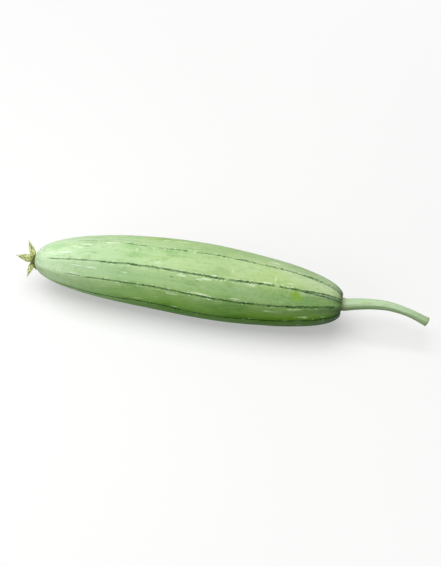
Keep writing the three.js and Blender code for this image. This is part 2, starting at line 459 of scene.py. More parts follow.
# Where a point lies against its nearest vein. A lane follows one side of one vein, far from all others.
LANE = 0.1  # between lanes, in metres, which only has to be more than any lump's size
LANES_APART = 3.0  # in lanes, from one vein to the next
place = add("Math", share_round, float(len(VEINS)), operation="MULTIPLY")
vein_number = add("Math", place, operation="FLOOR")
vein_offset = add("Math", add("Math", place, operation="FRACT"), 0.5, operation="SUBTRACT")
vein_gap = add("Math", vein_offset, girth, operation="MULTIPLY")
vein_gap = add("Math", vein_gap, 1 / len(VEINS), operation="MULTIPLY")
vein_side = add("Math", vein_gap, operation="SIGN")
vein_distance = add("Math", vein_gap, operation="ABSOLUTE")
lane_number = add("Math", vein_number, LANES_APART, vein_side, operation="MULTIPLY_ADD")
lane = add("CombineXYZ", along, add("Math", lane_number, LANE, operation="MULTIPLY"))

grain = grains(
    add,
    ("tint", tube, 70, 24, 1.0), ("clouds", tube, 30, 13, 2.0), ("mottle", where, 5, 2.4, 3.0),
    ("streaks", tube, 26, 1.6, 2.0), ("pores", where, 0.8, 0.7, 2.0), ("rungs", tube, 0.9, 3.5, 1.0),
    ("scribble", where, 1.3, 1.1, 1.0), ("ragged", lane, 1.6, 7, 2.0), ("beads", lane, 3.2, 7, 1.0),
    ("nodes", lane, 6, 9, 1.0), ("outer", lane, 2.2, 5, 2.0), ("tatters", where, 2.6, 2.6, 3.0),
)

# The skin ripens on the way to the stem, and is yellower in places there.
ripe = add("MapRange", share_along, skin_share(40), skin_share(110))
yellow_tint = add("MapRange", grain["tint"], 0.52, 0.68, 0.0, ripe)

# The rind's ground colour from the blossom scar to the stem, as a lit copy for the top and a darker, greener
# copy for the underside, which is painted shade.
LIT_RIND = (
    (0, "#C4DDB4"), (6, "#D0EABE"), (14, "#D9F4C9"), (30, "#D3EDC2"), (50, "#CCE6B8"), (80, "#C8E3B0"),
    (110, "#BFDCA2"), (145, "#BBD79B"), (180, "#B9D497"), (240, "#C1DAA5"), (262, "#C6DCAC"),
    # The last stops darken the end face round the stem: partly its dark collar, partly painted shade in the
    # dished face.
    (278, "#CFE2B4"), (285, "#B4C89C"), (287.6, "#7C9276"), (290, "#687E68"),
)
PAINTED_SHADE_RIND = (
    (0, "#C4DCB4"), (14, "#DCF5CC"), (30, "#CDEAB4"), (50, "#B2D690"), (80, "#9ACA68"), (110, "#8EC056"),
    (145, "#7CB244"), (180, "#74A838"), (210, "#70A02C"), (262, "#6C9A2E"), (278, "#54802A"),
    (285, "#486A36"), (290, "#40583A"),
)
lit_colour, painted_shade_colour = (
    add("ValToRGB", share_along, stops=[(skin_share(reach), colour) for reach, colour in stops])
    for stops in (LIT_RIND, PAINTED_SHADE_RIND)
)
# Painted shade: the underside is darkened further, from a little below the middle downwards, and more on the
# riper half.
painted_underside_shade = add("MapRange", height, 0.1, -0.6, 0.0, ripe)
# Painted shade: the shaded copy takes over from the lit one by height on the fruit, and reaches its full
# depth higher up the side towards the stem end.
painted_shade_full_height = add("MapRange", share_along, skin_share(110), skin_share(210), -0.6, -0.1)
painted_shade_share = add("MapRange", height, 1.0, painted_shade_full_height)
body = add("Mix", painted_shade_share, lit_colour, painted_shade_colour, data_type="RGBA")

# The vein's own line, one to three millimetres wide with a ragged edge. Where it frays towards the stem it
# splits into two fine rails.
RAIL = 1.3 * MM
NARROW, YOUNG_WIDE, RIPE_WIDE, RAIL_WIDE = 0.4 * MM, 0.7 * MM, 1.4 * MM, 0.75 * MM  # half its width
rail = add("Math", vein_fray, RAIL, operation="MULTIPLY")
from_rail = add("Math", vein_distance, rail, operation="SUBTRACT")
from_rail = add("Math", from_rail, operation="ABSOLUTE")
widest = add("MapRange", ripe, 0.0, 1.0, YOUNG_WIDE, RIPE_WIDE)
widest = add("MapRange", vein_fray, 0.0, 1.0, widest, RAIL_WIDE)
half_width = add("MapRange", grain["ragged"], 0.3, 0.7, NARROW, widest)
inside = add("Math", half_width, from_rail, operation="SUBTRACT")
bead = add("MapRange", grain["beads"], 0.42, 0.52, vein_hold, 1.0, **SMOOTH)
line_ink = add("Math", vein_ink, bead, operation="MULTIPLY")
line = add("MapRange", inside, -0.25 * MM, 0.2 * MM, 0.0, line_ink, **SMOOTH)

# Between the rails stand fine rungs, and towards the stem a dark bluish feather spreads from the line.
FEATHER_REACH = 3.6 * MM
between = add("MapRange", vein_distance, 1.5 * MM, 1.0 * MM, 0.0, vein_fray)
rungs = add("MapRange", grain["rungs"], 0.5, 0.6, 0.0, between)
feather_reach = add("MapRange", vein_fray, 0.78, 1.0, 0.0, FEATHER_REACH)
feather_edge = add("Math", feather_reach, grain["ragged"], operation="MULTIPLY")
feather_inside = add("Math", feather_edge, vein_distance, operation="SUBTRACT")
feather = add("MapRange", feather_inside, -0.3 * MM, 0.9 * MM, 0.0, vein_fray, **SMOOTH)

# Pale corky scars hug both sides of the line, each as long as a cell at the most.
SCAR_CELL = 4.8 * MM
outer = add("MapRange", grain["outer"], 0.35, 0.65, 1.0 * MM, 2.5 * MM)
under_outer = add("Math", outer, vein_distance, operation="SUBTRACT")
over_line = add("Math", inside, -1.0, operation="MULTIPLY")
band = add("Math", under_outer, over_line, operation="MINIMUM")
scar_colour, scar_distance = cells_on(add, lane, SCAR_CELL, LANE)
scar_luck = add("SeparateColor", scar_colour)
scarred = add("Math", scar_luck, vein_scars, operation="LESS_THAN")
scar_torn = add("Math", grain["tatters"], 0.5, scar_distance, operation="MULTIPLY_ADD")
scar_size = add("MapRange", scar_torn, 0.74, 0.54, 0.0, scarred)
hugging = add("MapRange", band, -0.1 * MM, 0.25 * MM, 0.0, scar_size, **SMOOTH)

# Loose flecks: long and short scars in the wax that lie along the fruit, and small patches of scribble.
# Each row has its cells' length and width, the share that stays bare, and the least and greatest size.
WAVE = 4 * MM  # how long the waves are that bend the flecks and the marks
WAVE_REACH = 1.5 * MM
waves = add("TexNoise", named={"Vector": where, "Scale": 1 / WAVE, "Detail": 2.0}).outputs["Color"]
wavy = add("VectorMath", waves, (WAVE_REACH, WAVE_REACH, 0), flat, operation="MULTIPLY_ADD")
from_seam = add("Math", share_round, 0.5, operation="PINGPONG")
open_skin = add("MapRange", from_seam, 0.005, 0.03)
for start, full in ((0.03, 0.07), (0.95, 0.88)):
    open_skin = add("MapRange", share_along, start, full, 0.0, open_skin)
flecks = 0.0
for length, width, bare, least, greatest in (
    (30 * MM, 3.4 * MM, 0.9, 0.1, 0.24), (17 * MM, 3.2 * MM, 0.9, 0.08, 0.2),
):
    fleck_colour, fleck_distance = cells_on(add, wavy, length, width)
    luck = add("SeparateColor", fleck_colour)
    size = add("MapRange", luck, bare, 1.0, least, greatest)
    present = add("Math", luck, bare, operation="GREATER_THAN")
    torn = add("Math", grain["tatters"], 0.25, fleck_distance, operation="MULTIPLY_ADD")
    inner = add("Math", size, torn, operation="SUBTRACT")
    fleck = add("MapRange", inner, -0.17, -0.05, 0.0, present, **SMOOTH)
    flecks = add("Math", fleck, flecks, operation="MAXIMUM")
flecks = add("Math", flecks, open_skin, operation="MULTIPLY")
patch_distance = cells_on(add, wavy, 44 * MM, 30 * MM)[1]
patch = add("MapRange", patch_distance, 0.12, 0.08, 0.0, open_skin)
scribble_middle = add("Math", grain["scribble"], 0.5, operation="SUBTRACT")
scribble_middle = add("Math", scribble_middle, operation="ABSOLUTE")
scribble = add("MapRange", scribble_middle, 0.07, 0.01, 0.0, patch)

# Round the blossom scar the wax is broken into a fine net of pale dots.
NET_CELL = 2.2 * MM
CRINKLE = 1.6 * MM
CRINKLE_REACH = (2 * MM, 2 * MM, 2 * MM)
crinkles = add("TexNoise", named={"Vector": where, "Scale": 1 / CRINKLE, "Detail": 2.0}).outputs["Color"]
crinkled = add("VectorMath", crinkles, CRINKLE_REACH, where, operation="MULTIPLY_ADD")
net_cells = add("TexVoronoi", named={"Vector": crinkled, "Scale": 1 / NET_CELL})
net_place = add("MapRange", share_along, 0.105, 0.045)
# The net's darker ground is its own colour, but it is laid most heavily towards the underside and least on
# top, which is painted shade.
net_ground = add("MapRange", painted_shade_share, -0.1, 0.5, 0.0, net_place)
dots = add("MapRange", net_cells.outputs["Distance"], 0.56, 0.32, 0.0, net_place)

# What lies in the rind, from the ground up.
body = laid(
    add, body,
    (yellow_tint, 0.0, 1.0, 0.6, "#EDF2C6", "MULTIPLY"),
    (grain["tint"], 0.48, 0.32, 0.35, "#D9EBE0", "MULTIPLY"),
    # painted shade, darkening the underside
    (painted_underside_shade, 0.0, 1.0, 0.85, "#98B886", "MULTIPLY"),
    (grain["clouds"], 0.53, 0.72, 0.65, "#CBDFC0", "MULTIPLY"),
    (grain["clouds"], 0.47, 0.28, 0.6, "#1E2418", "SCREEN"),
    (grain["streaks"], 0.52, 0.72, 0.4, "#CDE0BE", "MULTIPLY"),
    (grain["mottle"], 0.53, 0.7, 0.5, "#CCE0BE", "MULTIPLY"),
    (grain["mottle"], 0.46, 0.3, 0.5, "#181C12", "SCREEN"),
    (grain["pores"], 0.52, 0.75, 0.35, "#C6DAB4", "MULTIPLY"), (net_ground, 0.0, 1.0, 0.5, "#98BC88", "MIX"),
    (dots, 0.0, 1.0, 0.7, "#E6F9DA", "MIX"), (scribble, 0.0, 1.0, 0.3, "#E4F6CC", "MIX"),
    (flecks, 0.0, 1.0, 0.75, "#E8F8CF", "MIX"), (hugging, 0.0, 1.0, 0.8, "#DDF0C6", "MIX"),
    (rungs, 0.0, 1.0, 0.6, "#55785A", "MIX"), (feather, 0.0, 1.0, 0.4, "#5F8072", "MIX"),
)

# This fruit's own marks: broad tints, then pale scars, two dark flecks and a bright green scuff. The three
# darker broad bands, about four veins from the seam, are painted shade under a rib and towards the stem end.
# Each has its place in millimetres from the blossom end and in veins from the seam, half its length and half
# its width in millimetres, how soft its edge is, how much of it shows, and its colour.
MARKS = (
    # painted shade: the first two bands lie in the shade under a rib, and the one at 272 mm shades the stem
    # end
    (80, 4.0, 75, 9, 1.0, 0.35, "#9CC294"), (215, 4.05, 75, 8, 1.0, 0.4, "#86B07C"),
    (110, 2.95, 50, 8, 1.0, 0.3, "#8FC05E"), (205, 5.0, 60, 9, 1.0, 0.25, "#C6DDA2"),
    (272, 3.9, 46, 14, 1.0, 0.7, "#6A9844"),
    (34, 4.9, 7, 1.0, 0.6, 0.7, "#F0FFE6"), (52, 5.28, 6, 0.9, 0.5, 0.9, "#ECFBDC"),
    (46, 4.2, 6, 0.9, 0.5, 0.9, "#E6F8DA"), (61, 4.14, 6, 1.0, 0.5, 0.9, "#E6F8DA"),
    (72, 5.43, 6, 0.9, 0.5, 0.9, "#ECFBDC"), (163, 3.63, 9, 1.1, 0.5, 0.9, "#DDF2C0"),
    (209, 4.42, 5, 1.2, 0.5, 0.8, "#DCEFC4"), (222, 4.62, 5, 1.1, 0.5, 0.8, "#E4F5CC"),
    (248, 3.39, 7, 1.1, 0.5, 0.9, "#CFE6A8"), (275, 4.12, 8, 2.2, 0.8, 0.7, "#B4CC8A"),
    (92, 4.08, 3, 1.0, 0.5, 0.8, "#E0F4D0"), (100, 5.28, 1.6, 2.6, 0.9, 0.5, "#DCF0C8"),
    (122, 4.77, 4.5, 2.0, 0.9, 0.5, "#DCF0C8"), (145, 4.38, 4.5, 1.2, 0.5, 0.85, "#DCF0C8"),
    (161, 4.33, 3.5, 1.3, 0.5, 0.85, "#DCF0C8"), (168, 4.41, 4.5, 1.1, 0.5, 0.85, "#DCF0C8"),
    (174, 4.59, 3, 1.2, 0.5, 0.8, "#DCF0C8"), (190, 4.93, 1.8, 1.6, 0.7, 0.4, "#E0F2CC"),
    (229, 4.89, 1.2, 3.4, 0.9, 0.35, "#DEF0C8"), (44, 3.63, 5, 1.0, 0.5, 0.8, "#E0F4D0"),
    (137, 4.25, 2.2, 1.0, 0.6, 0.7, "#5E8850"), (160, 4.27, 3, 0.9, 0.6, 0.6, "#5E8850"),
    (249.5, 4.13, 6, 6, 0.5, 0.85, "#8CB440"), (248, 4.36, 3, 5.5, 0.6, 0.7, "#8CB440"),
)
TATTERED = 1.6  # how far, in half-widths, the tatters move a mark's edge
MARK_EDGE = 1 + TATTERED / 2  # where the edge comes to lie, as the tatters are 0.5 on average
for reach, middle_place, half_length, half_breadth, softness, most, colour in MARKS:
    half_length *= MM
    half_breadth *= MM
    middle = (skin_share(reach) * skin_length / half_length, middle_place * VEIN_SPACING / half_breadth)
    spot = add(
        "VectorMath", wavy, (1 / half_length, 1 / half_breadth, 0), (-middle[0], -middle[1], 0),
        operation="MULTIPLY_ADD",
    )
    from_middle = add("VectorMath", spot, operation="LENGTH").outputs["Value"]
    torn = add("Math", grain["tatters"], TATTERED, from_middle, operation="MULTIPLY_ADD")
    body = laid(add, body, (torn, MARK_EDGE + softness / 2, MARK_EDGE - softness, most, colour, "MIX"))

# The veins' lines lie over all of it, and are darkest where the sap thickens into nodes. A darker copy of
# their colour takes over on the underside, as painted shade.
LINE_SHOWS = 0.95
node = add("MapRange", grain["nodes"], 0.35, 0.6)
lit_line_colour, painted_shade_line_colour = (
    add("Mix", node, paler, darker, data_type="RGBA")
    for paler, darker in (("#4E794A", "#2F5430"), ("#2C5A22", "#193D13"))
)
line_painted_shade = add("MapRange", painted_shade_share, 0.0, 0.6)
line_colour = add("Mix", line_painted_shade, lit_line_colour, painted_shade_line_colour, data_type="RGBA")
line_share = add("Math", line, LINE_SHOWS, operation="MULTIPLY")
body = add("Mix", line_share, body, line_colour, data_type="RGBA")

# The wax is a little duller over the lines. Pores and streaks give it height, the lines are sunken, and
# scars and dots stand a little proud.
gloss = add("MapRange", grain["clouds"], 0.3, 0.7, 0.44, 0.56)
gloss = add("Math", line, 0.12, gloss, operation="MULTIPLY_ADD")
surface(
    add, body, gloss, 1.42, 0.15,
    (grain["pores"], 0.045), (grain["streaks"], 0.1), (grain["mottle"], 0.06), (flecks, 0.07),
    (hugging, 0.08), (line, -0.14), (feather, -0.06), (rungs, -0.05), (dots, 0.12), (scribble, 0.03),
)

fruit = finished("gourd_fruit", skin, rind)
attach(fruit, "root")
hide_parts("fruit")


# --- The stem ---------------------------------------------------------------------------------------------
# The stalk that the fruit hung from: a solid, juicy green stem with five blunt corners and fine lengthwise
# ribs. It flares where it grows out of the fruit, and its far end is cut straight across with a knife.
STEM_ROUTE = [
    Vector(point) * MM
    for point in (
        (0, 0, 0), (3, 0, 0), (10, 0.9, 1), (24, 2.4, 2.6), (42, 2.9, 3), (60, 1.6, -0.1), (78, -1, -6.3),
    )
]
ROUTE_STEPS = 40  # in each span of the route
STEM_OFFSET = 0.7 * MM  # how far the stem's foot sits off the fruit's axis, to +Y and to +Z
STEM_FOOT_RADIUS = 6.1 * MM
STEM_ROOT_RADIUS = 5.3 * MM
STEM_TIP_RADIUS = 3.6 * MM
STEM_CUT_RADIUS = 4.1 * MM
STEM_TAPER_ENDS = 0.8
FOOT_REACH = 3.2 * MM
CUT_REACH = 6.5 * MM
STEM_ROOTED = 2 * MM  # how far the stalk starts inside the fruit
STEM_RINGS = 150
STEM_SEGMENTS = 120
CORNERS = 5
CORNER_RISE = 0.22 * MM
CORNER_TWIST = 4  # radians in each metre
RIB_RISE = 0.2 * MM
KNOBBLE_RISE = 0.12 * MM
CUT_BEVEL = 0.35 * MM
CUT_BEVEL_RINGS = 4
PITH_SINK = 0.35 * MM

stem_start = Vector((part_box("stem")[0].x, axis_y + STEM_OFFSET, axis_z + STEM_OFFSET))


def route_point(place):
    """A point on the Hermite curve through the route's points, at a place counted in spans."""
    i = min(int(place), len(STEM_ROUTE) - 2)
    t = place - i
    start, end = STEM_ROUTE[i], STEM_ROUTE[i + 1]
    span = (end - start).length
    slopes = []
    for j in (i, i + 1):
        back, ahead = STEM_ROUTE[max(j - 1, 0)], STEM_ROUTE[min(j + 1, len(STEM_ROUTE) - 1)]
        lengths = (STEM_ROUTE[j] - back).length + (ahead - STEM_ROUTE[j]).length
        slopes.append((ahead - back) * (span / lengths))
    rest = 1 - t
    return (
        start * ((1 + 2 * t) * rest**2) + slopes[0] * (t * rest**2)
        + end * (t**2 * (3 - 2 * t)) - slopes[1] * (t**2 * rest)
    )


route_points = [route_point(i / ROUTE_STEPS) for i in range((len(STEM_ROUTE) - 1) * ROUTE_STEPS + 1)]
route_reached = [0.0]
for before, after in zip(route_points, route_points[1:]):
    route_reached.append(route_reached[-1] + (after - before).length)
stem_length = route_reached[-1]


@functools.cache
def route_at(distance):
    """The point and the direction at a distance along the route, which goes on straight before its start."""
    i = min(max(bisect.bisect_right(route_reached, distance) - 1, 0), len(route_points) - 2)
    direction = (route_points[i + 1] - route_points[i]).normalized()
    return route_points[i] + direction * (distance - route_reached[i]), direction


stem_outline = [(-STEM_ROOTED, 0.0), (-STEM_ROOTED, STEM_FOOT_RADIUS * 0.6)]
for i in range(STEM_RINGS + 1):
    distance = -STEM_ROOTED + (stem_length - CUT_BEVEL + STEM_ROOTED) * i / STEM_RINGS
    taper = ease(distance, 0, STEM_TAPER_ENDS * stem_length)
    foot = (STEM_FOOT_RADIUS - STEM_ROOT_RADIUS) * math.exp(-max(distance, 0) / FOOT_REACH)
    cut = (STEM_CUT_RADIUS - STEM_TIP_RADIUS) * math.exp((distance - stem_length) / CUT_REACH)
    radius = STEM_ROOT_RADIUS + (STEM_TIP_RADIUS - STEM_ROOT_RADIUS) * taper + foot + cut
    stem_outline.append((distance, radius))
for i in range(CUT_BEVEL_RINGS):
    corner = (i + 1) / CUT_BEVEL_RINGS * math.pi / 2
    distance = stem_length - CUT_BEVEL * (1 - math.sin(corner))
    stem_outline.append((distance, STEM_CUT_RADIUS - CUT_BEVEL * (1 - math.cos(corner))))
for share in (0.8, 0.7, 0.6, 0.5, 0.35, 0.2, 0.0):
    sink = PITH_SINK * ease(share, 0.85, 0.5)
    stem_outline.append((stem_length - sink, STEM_CUT_RADIUS * share))

stalk = turned(stem_outline, STEM_SEGMENTS)
stalk_length = stations(stem_outline)[-1]
round_layer = stalk.verts.layers.float.new("round")
for vert in stalk.verts:
    vert[round_layer] = (math.atan2(vert.co.z, -vert.co.y) / TAU + 0.25) % 1
lay_map(stalk, stalk_length)
for vert in stalk.verts:
    x, y, z = vert.co
    radius = math.hypot(y, z)
    roll = math.atan2(z, y)
    side = ease(radius, 0.5 * STEM_TIP_RADIUS, STEM_TIP_RADIUS)
    rise = CORNER_RISE * math.cos(CORNERS * roll + x * CORNER_TWIST)
    rise += RIB_RISE * noise.noise(Vector((x / (30 * MM), 4.2 * math.cos(roll), 4.2 * math.sin(roll))))
    rise += KNOBBLE_RISE * noise.noise(Vector((x / (9 * MM), math.cos(roll), math.sin(roll))))
    radius += rise * side
    centre, ahead = route_at(round(x, 6))
    across = ahead.cross(Vector((0, 0, 1))).normalized()
    up = across.cross(ahead)
    vert.co = stem_start + centre - across * (radius * math.cos(roll)) + up * (radius * math.sin(roll))

# Fresh stalk: a matte, faintly waxed green skin with pale lengthwise fibres, buff where it meets the
# fruit, and a pale cut face with a darker rim. Its underside is painted olive, as painted shade.
stalk_skin = bpy.data.materials.new("matte_green_stalk")
add = emptied(stalk_skin)
spread = add("SeparateXYZ", add("UVMap", uv_map="OFBake"))
along = add("Math", spread.outputs["X"], stalk_length, operation="MULTIPLY")
height, tube = rolled(add, along, spread.outputs["Y"], -math.pi / 2, STEM_ROOT_RADIUS)
foot_share = (STEM_ROOTED + 0.6 * STEM_FOOT_RADIUS + 3 * MM) / stalk_length
cut_share = (stalk_length - STEM_CUT_RADIUS - 0.4 * MM) / stalk_length
cut_end = [(cut_share - 0.02, "#B0CB9C"), (cut_share, "#8FAE74"), (cut_share + 0.008, "#7E9A5E"),
           (cut_share + 0.018, "#C9D6A6"), (1.0, "#DDE3BE")]
# A lit copy of the stalk's colours for its top, and a darker olive copy for its underside, which is painted
# shade.
lit_colour, painted_shade_colour = (
    add("ValToRGB", spread.outputs["X"], stops=stops + cut_end)
    for stops in (
        [(0.0, "#9AA67C"), (foot_share, "#B7C39A"), (foot_share + 0.02, "#BACCA0"),
         (foot_share + 0.06, "#B6D0A6"), (0.3, "#BAD6AA"), (0.7, "#C4DEB6")],
        [(0.0, "#7F8A5C"), (foot_share, "#98A878"), (foot_share + 0.04, "#9FB877"), (0.3, "#9CBA76"),
         (0.7, "#A4C284")],
    )
)
# The olive copy takes over towards the underside: painted shade.
painted_shade_share = add("MapRange", height, 0.5, -0.5, **SMOOTH)
cover = add("Mix", painted_shade_share, lit_colour, painted_shade_colour, data_type="RGBA")
grain = grains(
    add, ("fibres", tube, 45, 0.8, 2.0), ("bruises", tube, 14, 6, 3.0), ("specks", tube, 1.1, 0.7, 2.0),
)
cover = laid(
    add, cover,
    (grain["fibres"], 0.5, 0.7, 0.5, "#C4D8B0", "MULTIPLY"),
    (grain["fibres"], 0.46, 0.3, 0.5, "#232A1C", "SCREEN"),
    (grain["bruises"], 0.56, 0.75, 0.6, "#E3DCA8", "MULTIPLY"),
    (grain["specks"], 0.56, 0.72, 0.4, "#BFCFA6", "MULTIPLY"),
    (grain["specks"], 0.36, 0.26, 0.5, "#E9F2D6", "MIX"),
)
gloss = add("MapRange", grain["bruises"], 0.35, 0.7, 0.46, 0.6)
surface(
    add, cover, gloss, 1.42, 0.35, (grain["fibres"], 0.22), (grain["specks"], 0.05), (grain["bruises"], 0.1),
)

stem = finished("gourd_stem", stalk, stalk_skin)
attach(stem, "root")
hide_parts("stem")


# --- The flower's neck ------------------------------------------------------------------------------------
# What is left of the tube that the flower's petals and sepals grew from: a short, shrunken and wrinkled
# collar of dead tissue round the blossom scar.
FLOWER_NECK = {
    "height": 2.2 * MM, "lip": 4.7 * MM, "waist": 3.9 * MM, "waist_at": 0.9 * MM, "mouth": 4.2 * MM,
}
NECK_ROOTED = 0.9 * MM
NECK_STEPS = 16
NECK_SEGMENTS = 96
NECK_WRINKLE = 0.55 * MM
MOUTH_SINK = 0.8 * MM

neck_x = neck_high.x
neck_outline = [(neck_x + NECK_ROOTED, 0.0), (neck_x + NECK_ROOTED, FLOWER_NECK["lip"] * 0.7)]
for i in range(NECK_STEPS + 1):
    distance = FLOWER_NECK["height"] * i / NECK_STEPS
    narrowed = ease(distance, 0, FLOWER_NECK["waist_at"])
    widened = ease(distance, FLOWER_NECK["waist_at"], FLOWER_NECK["height"])
    radius = FLOWER_NECK["lip"] + (FLOWER_NECK["waist"] - FLOWER_NECK["lip"]) * narrowed
    radius += (FLOWER_NECK["mouth"] - FLOWER_NECK["waist"]) * widened
    neck_outline.append((neck_x - distance, radius))
for share in (0.92, 0.8, 0.6, 0.3, 0.0):
    sink = MOUTH_SINK * ease(share, 0.95, 0.3)
    neck_outline.append((neck_x - FLOWER_NECK["height"] + sink, FLOWER_NECK["mouth"] * share))
collar = turned(neck_outline, NECK_SEGMENTS)
for vert in collar.verts:
    radius = vert.co.yz.length
    roll = math.atan2(vert.co.z, vert.co.y)
    folds = noise.noise(Vector((vert.co.x / (2.5 * MM), 5 * math.cos(roll), 5 * math.sin(roll))))
    stretch = 1 + folds * NECK_WRINKLE / max(radius, 2 * MM)
    vert.co.y = flower_y + vert.co.y * stretch
    vert.co.z = flower_z + vert.co.z * stretch

# Withered flower: dead, papery tissue, almost black where it is still damp and olive-brown where it has
# dried.
withered = bpy.data.materials.new("withered_flower_tissue")
add = emptied(withered)
where = add("TexCoord").outputs["Object"]
scaled = add("VectorMath", where, (1 / (1.6 * MM), 1 / (0.9 * MM), 1 / (0.9 * MM)), operation="MULTIPLY")
folds, stains = (
    add("TexNoise", named=inputs).outputs["Fac"]
    for inputs in (
        {"Vector": scaled, "Scale": 1.0, "Detail": 3.0, "Roughness": 0.6},
        {"Vector": where, "Scale": 1 / (3 * MM), "Detail": 2.0},
    )
)
dried = add("MapRange", folds, 0.35, 0.65)
dead = add("Mix", dried, "#34361A", "#6A7036", data_type="RGBA")
stained = add("MapRange", stains, 0.5, 0.68, 0.0, 0.6)
dead = add("Mix", stained, dead, "#8C9450", data_type="RGBA")
surface(add, dead, add("MapRange", stains, 0.3, 0.7, 0.7, 0.9), 1.45, 0.3, (folds, 0.4))

flower_neck = finished("flower_neck", collar, withered)
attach(flower_neck, "root")
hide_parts("calyx_ring")


# --- The sepals -------------------------------------------------------------------------------------------
# Five pointed lobes of the flower's outer ring, left as a star round the neck. Each is a thin leaf with a
# raised midrib, half dried, so its edges curl up, its tip is straw-coloured and it has brown-green spots.
SEPAL_GAP = 0.3 * MM
SEPAL_FOOT = 3.9 * MM  # how far from the flower's axis the sepals stand
CAD_THICKNESS = 0.9 * MM
SEPAL_THICKNESS = 0.5 * MM
# Each sepal stands at a roll round the flower's axis, from +Y towards +Z, spreads from that axis, curls, is
# turned about its own length, folds along its midrib and twists. Lengths are in millimetres and angles in
# degrees.
Sepal = collections.namedtuple("Sepal", "roll length width spread curl turn fold twist")
SEPALS = (
    Sepal(44, 15.8, 6.8, 66, 8, -80, 22, 16),
    Sepal(120, 15.6, 7.8, 34, -6, -10, 18, -12),
    Sepal(209, 14.2, 6.2, 79, -10, 80, 26, 14),
    Sepal(266, 9, 5, 98, 8, 30, 26, -12),
    Sepal(322, 10.5, 5, 96, -6, -20, 22, 10),
)
SEPAL_STEPS = 32
SEPAL_COLUMNS = 12
SEPAL_ROOTED = 2.4 * MM  # how far a sepal starts inside the neck
RIB_LIFT = 0.3 * MM
RIB_SHARPNESS = 0.22  # half of the midrib's width, as a share of half the leaf's
RUFFLE = 0.6 * MM


def leaf_breadth(share):
    """A leaf's breadth as a share of its greatest: broad at the foot, widest before the middle, pointed."""
    foot = 0.66 + 0.34 * ease(share, 0.0, 0.34)
    point = (1 - ease(share, 0.28, 1.06)) ** 0.8
    return foot * point


# Half-dried leaf: a dull yellow-green with brown-green spots, pale thin edges and a straw tip.
SPOT_CELLS = (6, 4.5, 0)  # along a leaf and across it
SPOT_DRIFT = (4, 4, 0)  # how far its spots stray, in cells
leaf_finish = bpy.data.materials.new("half_dried_leaf")
add = emptied(leaf_finish)
spread = add("SeparateXYZ", add("UVMap", uv_map="leaf"))
share_along, share_across = spread.outputs["X"], spread.outputs["Y"]
where = add("TexCoord").outputs["Object"]
blade = add("ValToRGB", share_along, stops=(
    (0.0, "#4A5020"), (0.1, "#757E36"), (0.2, "#CBD484"), (0.4, "#E6ECAE"), (0.7, "#E2E8A6"),
    (0.9, "#EEF1CC"), (1.0, "#F4F4DE"),
))
mottle = grains(add, ("mottle", where, 2.2, 1.6, 2.0))["mottle"]
leaf_drift = add("TexNoise", named={"Vector": where, "Scale": 1 / (8 * MM), "Detail": 5.0}).outputs["Color"]
leaf_place = add("CombineXYZ", share_along, share_across)
leaf_place = add("VectorMath", leaf_place, SPOT_CELLS, operation="MULTIPLY")
leaf_place = add("VectorMath", leaf_drift, SPOT_DRIFT, leaf_place, operation="MULTIPLY_ADD")
spots = add("TexVoronoi", named={"Vector": leaf_place, "Scale": 1.0}, voronoi_dimensions="2D")
spot_luck = add("SeparateColor", spots.outputs["Color"])
spot_place = add("MapRange", share_along, 0.95, 0.8)
spot_kept = add("MapRange", spot_luck, 0.45, 0.5, 0.0, spot_place)
spot = add("MapRange", spots.outputs["Distance"], 0.62, 0.25, 0.0, spot_kept, **SMOOTH)
middle = add("Math", share_across, 0.5, operation="SUBTRACT")
from_middle = add("Math", middle, operation="ABSOLUTE")
rib_place = add("MapRange", share_along, 0.95, 0.6)
rib = add("MapRange", from_middle, 0.1, 0.04, 0.0, rib_place)
blade = laid(
    add, blade,
    (mottle, 0.52, 0.68, 0.4, "#B4C05C", "MIX"), (mottle, 0.46, 0.34, 0.5, "#F1F4CA", "MIX"),
    (spot, 0.0, 1.0, 0.9, "#6E7E32", "MIX"), (rib, 0.0, 1.0, 0.3, "#A3AF54", "MIX"),
    (from_middle, 0.38, 0.5, 0.8, "#F0F2CC", "MIX"),
)
gloss = add("MapRange", mottle, 0.3, 0.7, 0.6, 0.78)
surface(add, blade, gloss, 1.42, 0.35, (mottle, 0.12), (rib, 0.1), (spot, -0.08))

